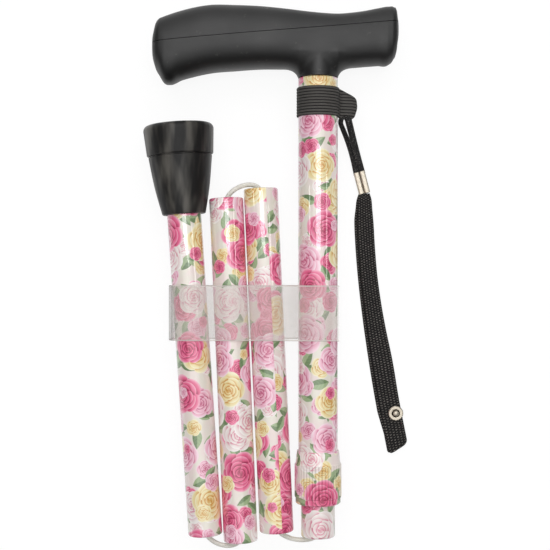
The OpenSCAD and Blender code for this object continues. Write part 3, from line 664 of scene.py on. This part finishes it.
folds = [(end_1, down, mouth_2, -way_2, step_1), (end_2, way_2, mouth_3, -way_3, step_2),
         (end_3, way_3, mouth_4, -way_4, step_3)]
for number, (end_a, way_a, end_b, way_b, step) in enumerate(folds, 1):
    reach = (cord_depth + cord_out + cord_step * step) * 4 / 3
    a, b = end_a - cord_depth * way_a, end_b - cord_depth * way_b
    t = np.linspace(0, 1, 49)[:, None]
    path = ((1 - t) ** 3 * a + 3 * t * (1 - t) ** 2 * (a + reach * way_a)
            + 3 * t * t * (1 - t) * (b + reach * way_b) + t ** 3 * b)
    bend = swept(f"cord_over_fold_{number}", path, oval(2 * cord_r, 2 * cord_r), upright)
    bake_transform(added(bend, white_braid, f"cord_bend_{number}"), f"section_{number}", f"section_{number + 1}",
             start=tuple(in_row(end_a)), end=tuple(in_row(end_b)))


# Ferrule: a black rubber foot pushed over the fourth tube's end. It widens to a thick tip band with a
# stepped edge, and its sole has ringed treads.
body_l, band_d, tip_r, sole_round, sole_t = 33.0, 37.0, 19.5, 3.0, 6.5
tread_r, tread_wide, tread_deep = (14.5, 11.0, 7.5, 4.0), 0.9, 0.9
ferrule_body = np.array([[0, 12.0], [13.86, 15.0], [body_l, 17.8]])
tip_edge = [tip_r, ferrule_l] - rounded(sole_round, 7)
treads = [(r + side * tread_wide, ferrule_l - deep) for r in tread_r
          for side, deep in ((1, 0), (2 / 3, tread_deep), (-2 / 3, tread_deep), (-1, 0))]
taper = np.linspace(1.2, body_l - 1.4, 30)
body_r = eased(ferrule_body, taper)[:, 0]
band = np.linspace([band_d / 2, body_l + 0.9], tip_edge[0], 12)
socket_l = ferrule_l - sole_t
ferrule_profile = np.array([
    (0, socket_l), (tube_r + 0.05, socket_l), (tube_r + 0.05, 0.7), (tube_r + 0.7, 0),
    (body_r[0] - 0.8, 0), (body_r[0] - 0.2, 0.4), *zip(body_r, taper), (body_r[-1], body_l - 1.0),
    (body_r[-1] - 0.5, body_l - 0.7), (body_r[-1] - 0.5, body_l - 0.2), (band_d / 2 - 0.4, body_l - 0.1),
    (band_d / 2 - 0.05, body_l + 0.4), *band, *tip_edge[1:], *treads, (0, ferrule_l)])
rubber = Finish("moulded_rubber", Specular_IOR_Level=0.32)
long_ways = rubber.start.node("Mapping", {}, {0: rubber.place(), 3: (2.0, 0.3, 2.0)})
# The rubber's light streaks along its length are partly a chalky bloom and partly painted sheen
bloom_and_sheen = rubber.noise(75, 2, long_ways)
pitted = rubber.noise(1100, 3)
rubber.feed(Base_Color=bloom_and_sheen.ease(0.4, 0.75).mix(paint("#121111"), paint("#5a5752")),
            Roughness=bloom_and_sheen.ease(0.3, 0.7, 0.5, 0.32) + pitted * 0.06)
rubber.raise_by(bloom_and_sheen * 0.5 + pitted * 0.2, 0.0006, 0.4)
piece(turned("ferrule_rubber", ferrule_profile, mouth_4 + tube_4_l * way_4, way_4, steps=128, crease=30),
      rubber.material, "section_4", "ferrule")


# Storage clip: a frosted plastic sleeve, open on one side, that slides over the four folded tubes. It
# is closed and round at the fourth tube, and widens into an open bay for the outer tube.
clip_l, clip_wall, clip_gap, clip_past, clip_down, clip_round = 30.5, 1.2, 0.4, 11.0, 39.2, 0.5
clip_lip, clip_flat = 12, -45
clip_top = (mouth_4 + tube_4_l * way_4)[1] - clip_down
clip_in, clip_bay = tube_r + clip_gap + clip_wall / 2, collar_r + clip_gap + clip_wall / 2
lean = radians(lean_4)
clip_left = mouth_4[0] - (clip_top - mouth_4[1]) * np.tan(lean) - tube_r / cos(lean) - clip_gap
round_x = clip_left + tube_r + clip_gap
lip = np.array([(clip_past, clip_bay), (clip_past - clip_lip, clip_bay), (-collar_r + 5, clip_bay),
                (-collar_r + 2, clip_bay - 0.5), (-collar_r - 2, clip_in + 0.5), (-collar_r - 5, clip_in),
                (clip_flat, clip_in), (round_x + 4, clip_in)])
turn = np.linspace(pi / 2, 3 * pi / 2, 49)
round_end = np.stack([round_x + clip_in * np.cos(turn), clip_in * np.sin(turn)], -1)
clip_line = np.concatenate([lip, round_end, lip[::-1] * [1, -1]])
clip_path = np.insert(clip_line, 1, clip_top - clip_l / 2, axis=1)
quarter = [clip_wall / 2, clip_l / 2] - rounded(clip_round, 5)
quarter = np.insert(quarter, 0, [clip_wall / 2, clip_l / 2 - 1], axis=0)
half = np.concatenate([quarter, quarter[::-1] * [-1, 1]])
clip_section = np.concatenate([half, -half])
frosted = Finish("frosted_plastic")
cloud = frosted.noise(90, 3)
fold_x, clip_mid, _ = in_row([clip_left, clip_top - clip_l / 2, 0])
across, along, _ = frosted.place().parts()
cut_edge = (along - clip_mid).size().ease((clip_l / 2 - 0.9) * 0.001, (clip_l / 2 - 0.4) * 0.001)
# Painted shade: the clip's rounded end is painted greyer, and a little less clear, over its last millimetres
painted_fold_shade = (across - fold_x).ease(-0.001, 0.003, 1, 0)
frosted.feed(Base_Color=painted_fold_shade.mix(cloud.mix(paint("#ddd6d0"), paint("#e8e2dc")), paint("#aba49f")),
             Roughness=cloud.ease(0.3, 0.7, 0.36, 0.46),
             Alpha=cut_edge * 0.35 + painted_fold_shade * 0.2 + 0.2)
frosted.raise_by(frosted.noise(2200, 2), 0.00004, 0.3)
piece(swept("storage_clip_sleeve", clip_path, clip_section, np.array([0, 1.0, 0]), crease=40),
      frosted.material, "clip", "storage_clip")


# Strap band: ribbed black elastic sewn round the outer tube over the handle's pin, its two ends sewn
# together as a tab that carries the wrist strap.
band_t, band_w, band_down, band_ribs, band_rib_h = 0.9, 16.0, 5.8, 10, 0.32
band_in = outer_r + 0.05
elastic = Finish("ribbed_elastic", Specular_IOR_Level=0.3)
around_band, along_band = elastic.mm()
twill = ((around_band * 1.1 + along_band * 1.9) / 1.05).fract()
yarn = twill.ease(0, 0.45) - twill.ease(0.55, 1)
fuzz = elastic.noise(3500, 2)
# Painted shade: the elastic is painted darker down into the grooves between its ribs, on top of its yarn and
# fuzz
crest_light = ((along_band - band_down) * (pi * band_ribs / band_w) - pi / 2).wave().size()
lit_thread = crest_light.ease(0.15, 0.85) * (yarn * 0.45 + fuzz * 0.4 + 0.3)
elastic.feed(Base_Color=lit_thread.mix(paint("#0e0d0d"), paint("#5e5b58")),
             Roughness=yarn.ease(0, 1, 0.9, 0.62))
elastic.raise_by(yarn * 0.6 + fuzz * 0.4, 0.00018, 0.6)


def ribbed(along):
    """Height of the round ribs over a share of the width, from 0 between two ribs to 1 on each."""
    return np.abs(np.sin(pi * band_ribs * along)) ** 0.6


share = np.linspace(0, 1, band_ribs * 10 + 1)
band_out = band_in + band_t - band_rib_h + band_rib_h * ribbed(share)
band_profile = np.array([*zip(band_out, band_down + share * band_w),
                         (band_in, band_down + band_w), (band_in, band_down)])
piece(turned("strap_band_ring", band_profile, [0, 0, 0], down, steps=128, crease=60),
      elastic.material, "handle", "strap_band")

tab_top, tab_low, tab_sag, tab_t, tab_x0 = -5.2, -21.6, 4.0, 2.2, 10.6
tab_rib_h, tab_skew, tab_girth = 0.25, 1.2, 24
share = np.linspace(0, 1, band_ribs * 8 + 1)
tab_y = tab_top + (tab_low - tab_top) * share
tab_edge = np.array([[0, 13.0], [0.06, 15.3], [0.22, 20.2], [0.48, 22.0], [0.76, 21.4], [0.95, 19.8],
                     [1, 18.6]])
tab_right = eased(tab_edge, share)[:, 0]
loop = np.linspace(0, 2 * pi, 56, endpoint=False)
fat = tab_t / 2 - tab_rib_h + tab_rib_h * ribbed(share)
tab_points = np.stack([
    tab_x0 + (tab_right[:, None] - tab_x0) * (1 + squared(np.cos(loop), 0.35)) / 2,
    tab_y[:, None] - tab_skew * (1 + np.cos(loop)) / 2,
    -tab_sag * np.sin(pi / 4 * (1 + np.cos(loop))) ** 0.8 + fat[:, None] * squared(np.sin(loop), 0.5)], -1)
ends = [np.broadcast_to(tab_points[i].mean(0), (1, len(loop), 3)) for i in (0, -1)]
tab_points = np.concatenate([ends[0], tab_points, ends[1]])
tab_uv = np.stack(np.meshgrid(np.linspace(0, tab_girth, len(loop) + 1),
                              np.linspace(band_down, band_down + band_w, len(share) + 2)), -1)
piece(grid_mesh("strap_band_tab", tab_points, uv=tab_uv, crease=70), elastic.material, "handle")


# Wrist strap: a thin braided loop through the tab, a nickel double crimp, and a black knitted tape laid
# double, with a snap stud near its end. It hangs from the tab and lies on the table.
table_z, floor_gap, barrel_d, crimp_l = -19.5, 0.3, 3.6, 12.8
eye, eye_bend, eye_skew = np.array([16.2, -20.65, -tab_sag]), 3.4, 2.0
crimp_side, crimp_down, crimp_grip = 7.8, 30.0, 1.5
crimp_turn = np.arctan2(crimp_side, crimp_down)
hang = np.array([sin(crimp_turn), -cos(crimp_turn), 0])
beside = np.array([cos(crimp_turn), sin(crimp_turn), 0])
crimp = np.array([eye[0] + crimp_side, eye[1] - crimp_down, table_z + floor_gap + barrel_d / 2])
barrel, barrel_side = 1.62, 1.66

tape_run, tape_sway, tape_w, tape_t = 145.5, 19.3, 11.4, 1.3
wales, row_mm = 6, 1.45
tape = Finish("knitted_tape", Specular_IOR_Level=0.4)
across_tape, along_tape = tape.mm()
column = (across_tape + tape_w / 2) * (wales / tape_w)
wale = (column.fract() - 0.5).size()
row = (along_tape / row_mm + column.floor() * 0.5 + wale * 0.8).fract()
stitch = (row - 0.5).size().ease(0.06, 0.26, 1, 0) * wale.ease(0.16, 0.38, 1, 0)
# Painted glints: the knit's stitches are painted lighter, more or less strongly at random
stitch_glint_strength = tape.noise(700, 2).ease(0.35, 0.65, 0.45, 1)
tape.feed(Base_Color=(stitch * stitch_glint_strength).mix(paint("#070606"), paint("#7a7570")),
          Roughness=stitch.ease(0, 1, 0.85, 0.55))
tape.raise_by(stitch, 0.0003, 0.8)

bend_at = eye + eye_bend * hang
turn = np.linspace(-pi / 2, pi / 2, 25)[:, None]
over_tab = (bend_at - eye_bend * np.cos(turn) * hang + eye_bend * np.sin(turn) * upright
            - eye_skew * (1 - np.sin(turn)) * beside)
t = np.linspace(0, 1, 28)[1:, None]
leg_sag, leg_close, strand = 2.0, 1.1, (2.0, 3.5)
legs = []
for side, first, close in ((-1, over_tab[0], leg_close), (1, over_tab[-1], 0)):
    last = crimp + side * barrel_side * beside + crimp_grip * hang
    legs.append(first + (last - first) * t + (close * beside - leg_sag * upright) * np.sin(pi * t))
strap_path = np.concatenate([legs[0][::-1], over_tab, legs[1]])
strap_wide = np.interp(np.linspace(0, 1, len(strap_path)), [0, 0.35, 0.65, 1], [1.0, 0.8, 1.12, 1.0])
strap_scale = np.stack([np.ones(len(strap_path)), strap_wide], -1)
piece(swept("strap_loop", strap_path, oval(*strand), beside, strap_scale),
      braided("black_braided_cord", "#0b0b0c", "#75726f"), "strap", "strap_cord")

nickel = Finish("nickel_plate", Metallic=1.0)
nickel_tones = paint("#b3aa9b"), paint("#d2cabb")
worn = nickel.noise(400, 4)
nickel.feed(Base_Color=worn.mix(*nickel_tones), Roughness=worn.ease(0.3, 0.75, 0.44, 0.54))
a = np.linspace(0, 2 * pi, 40, endpoint=False)
pressed = np.stack([squared(np.cos(a), 0.55), squared(np.sin(a), 0.55)], -1)
barrel_at = np.array([0, 0.12, 0.4, 0.7, crimp_l - 0.7, crimp_l - 0.4, crimp_l - 0.12, crimp_l])[:, None]
barrel_scale = barrel - np.array([0.2, 0.06, 0, 0, 0, 0, 0.06, 0.2])[:, None] * [1, 1]
for side, word in ((-1, "left"), (1, "right")):
    mesh = swept(f"crimp_barrel_{word}", crimp + side * barrel_side * beside + barrel_at * hang, pressed,
                 upright, barrel_scale, crease=40)
    piece(mesh, nickel.material, "strap", *(["strap_crimp"] if side < 0 else []))

# Shares of the tape's run, of its sway to the right, and of its width
tape_shares = np.array([[0, 0, 0.5], [0.022, 0.005, 0.65], [0.061, 0.015, 0.71], [0.12, 0.033, 0.78],
                        [0.19, 0.06, 0.79], [0.33, 0.145, 0.8], [0.44, 0.25, 0.84], [0.53, 0.355, 0.9],
                        [0.66, 0.53, 1], [0.81, 0.72, 1], [1, 1, 1]])
tape_start = crimp + crimp_l * hang
tape_corner, tape_slant, layer_gap = 2.3, 0.4, 0.5
at = np.concatenate([np.linspace(0, 0.98, 170), np.linspace(0.98, 1, 21)[1:]])
sway, wide = eased(tape_shares, at).T
cut_back = tape_corner - np.minimum((1 - at) * tape_run, tape_corner)
half_wide = wide * tape_w / 2 - tape_corner + np.sqrt(tape_corner ** 2 - cut_back ** 2)
slant = -tape_slant * np.clip((at - 0.88) / 0.1, 0, 1)
x = np.linspace(-1, 1, wales * 10 + 1)
face = (1 - np.abs(x) ** 5) ** 0.4 * (0.86 + 0.14 * np.abs(np.sin(pi * wales * (x + 1) / 2)) ** 0.7)
tape_section = np.concatenate([np.stack([x, face], -1), np.stack([x, -face], -1)[-2:0:-1]])
tape_girth = np.append(tape_section[:, 0], -1) * tape_w / 2
tape_z = table_z + floor_gap
aside = np.interp(at, [0, 0.1, 0.85, 0.93], [-0.4, -2.0, -2.0, -0.8])
layers = (("lower", aside, tape_z + tape_t / 2), ("upper", 0 * at, tape_z + 1.5 * tape_t + layer_gap))
for word, shift, z in layers:
    path = np.stack([tape_start[0] + shift + sway * tape_sway, tape_start[1] - at * tape_run,
                     0 * at + z], -1)
    scale = np.stack([half_wide, 0 * at + tape_t / 2], -1)
    mesh = swept(f"wrist_tape_{word}", path, tape_section, upright, scale, tape_girth, slant)
    piece(mesh, tape.material, "strap", *(["wrist_tape"] if word == "upper" else []))

snap_d, snap_t, snap_up, snap_aside = 8.5, 0.9, 20.4, 0.2
snap_share = 1 - snap_up / tape_run
snap_sway = np.interp(snap_share, tape_shares[:, 0], tape_shares[:, 1]) * tape_sway
snap_x = tape_start[0] + snap_sway + snap_aside * tape_w
snap_at = np.array([snap_x, tape_start[1] - snap_share * tape_run, tape_z + 2 * tape_t + layer_gap])
r, post, moat, post_rise = snap_d / 2, 1.65, 2.2, 1.7
a = np.linspace(0, pi / 2, 9)
snap_profile = [(0, 0), (r - 0.15, 0), (r, 0.25), (r - 0.1, 0.6), (r - 0.5, snap_t), (r - 0.9, snap_t),
                (moat + 0.5, snap_t), (moat + 0.2, snap_t - 0.05), (moat, snap_t - 0.3), (moat, 0.15),
                (post, 0.15), (post, 1.0),
                *zip(post * np.cos(a), post_rise + (snap_t * 3 - post_rise) * np.sin(a))]
moat_shaded_nickel = Finish("nickel_with_painted_moat_shade", Metallic=1.0)
dull = moat_shaded_nickel.noise(500, 4)
# Painted shade: the cap's low parts, its moat and the foot of its rim, are painted dark brown
painted_moat_shade = moat_shaded_nickel.mm()[1].ease(0.4, 0.75, 1, 0)
moat_shaded_nickel.feed(Base_Color=painted_moat_shade.mix(dull.mix(*nickel_tones), paint("#2b2620")),
               Roughness=dull.ease(0.3, 0.75, 0.44, 0.54))
piece(turned("snap_stud_cap", snap_profile, snap_at, upright, steps=64, crease=30),
      moat_shaded_nickel.material, "strap", "snap_stud")
frame["nodes"]["snap_rivet"].material_slots[0].material = nickel.material


# Table and light: a white table, plain white with a faint shadow where the camera or a reflection sees it,
# a lamp under a pale ceiling, a brighter ceiling and a wall beyond the handle, a thin lamp on either side.
# Lengths and places in this section are metres.
floor_r, room_light = 30, 0.08
white = Finish("white_table", Roughness=0.9, Specular_IOR_Level=0.0, Emission_Strength=1.0)
rays = [white.start.node("LightPath", output=f"Is {kind} Ray")
        for kind in ("Camera", "Glossy", "Transmission")]
seen = white.start.sum("MINIMUM", rays[0] + rays[1] + rays[2], 1.0)
white.feed(Base_Color=seen.mix((0.9, 0.9, 0.9, 1), (0.12, 0.12, 0.12, 1)),
           Emission_Color=seen.mix((0, 0, 0, 1), (0.9, 0.9, 0.9, 1)))
floor = linked("floor", bpy.data.meshes.new("floor"))
floor.data.from_pydata([(-floor_r, -floor_r, 0), (floor_r, -floor_r, 0), (floor_r, floor_r, 0),
                        (-floor_r, floor_r, 0)], [], [range(4)])
floor.data.materials.append(white.material)

world = bpy.data.worlds.new("studio")
bpy.context.scene.world = world
world.use_nodes = True
world.node_tree.nodes["Background"].inputs["Color"].default_value = (1, 1, 1, 1)
world.node_tree.nodes["Background"].inputs["Strength"].default_value = room_light


def panel(name, place, wide, long, power, aim=(0, 0)):
    """A rectangular lamp: place and size, power in watts, aim as turns about X and Y."""
    lamp = linked(name, bpy.data.lights.new(name, "AREA"))
    lamp.data.shape = "RECTANGLE"
    lamp.data.size, lamp.data.size_y, lamp.data.energy = wide, long, power
    lamp.location = place
    lamp.rotation_euler = (*aim, 0)


panel("ceiling_lamp", (0.06, 0.177, 2.0), 0.9, 0.235, 5.0)
panel("pale_ceiling", (0, -0.5, 2.05), 2.6, 2.0, 21)
panel("bright_ceiling", (0, 1.11, 2.05), 2.6, 1.22, 16)
panel("bright_wall", (0, 2.0, 1.5), 3.0, 2.6, 25, (radians(-53), 0))
panel("thin_strip_right", (2.2, 0.142, 1.9), 0.4, 0.34, 2.2, (0, radians(49)))
panel("thin_strip_left", (-2.3, 0.195, 1.9), 0.3, 0.172, 1.1, (0, radians(-50)))

bpy.context.scene.view_settings.view_transform = "Standard"
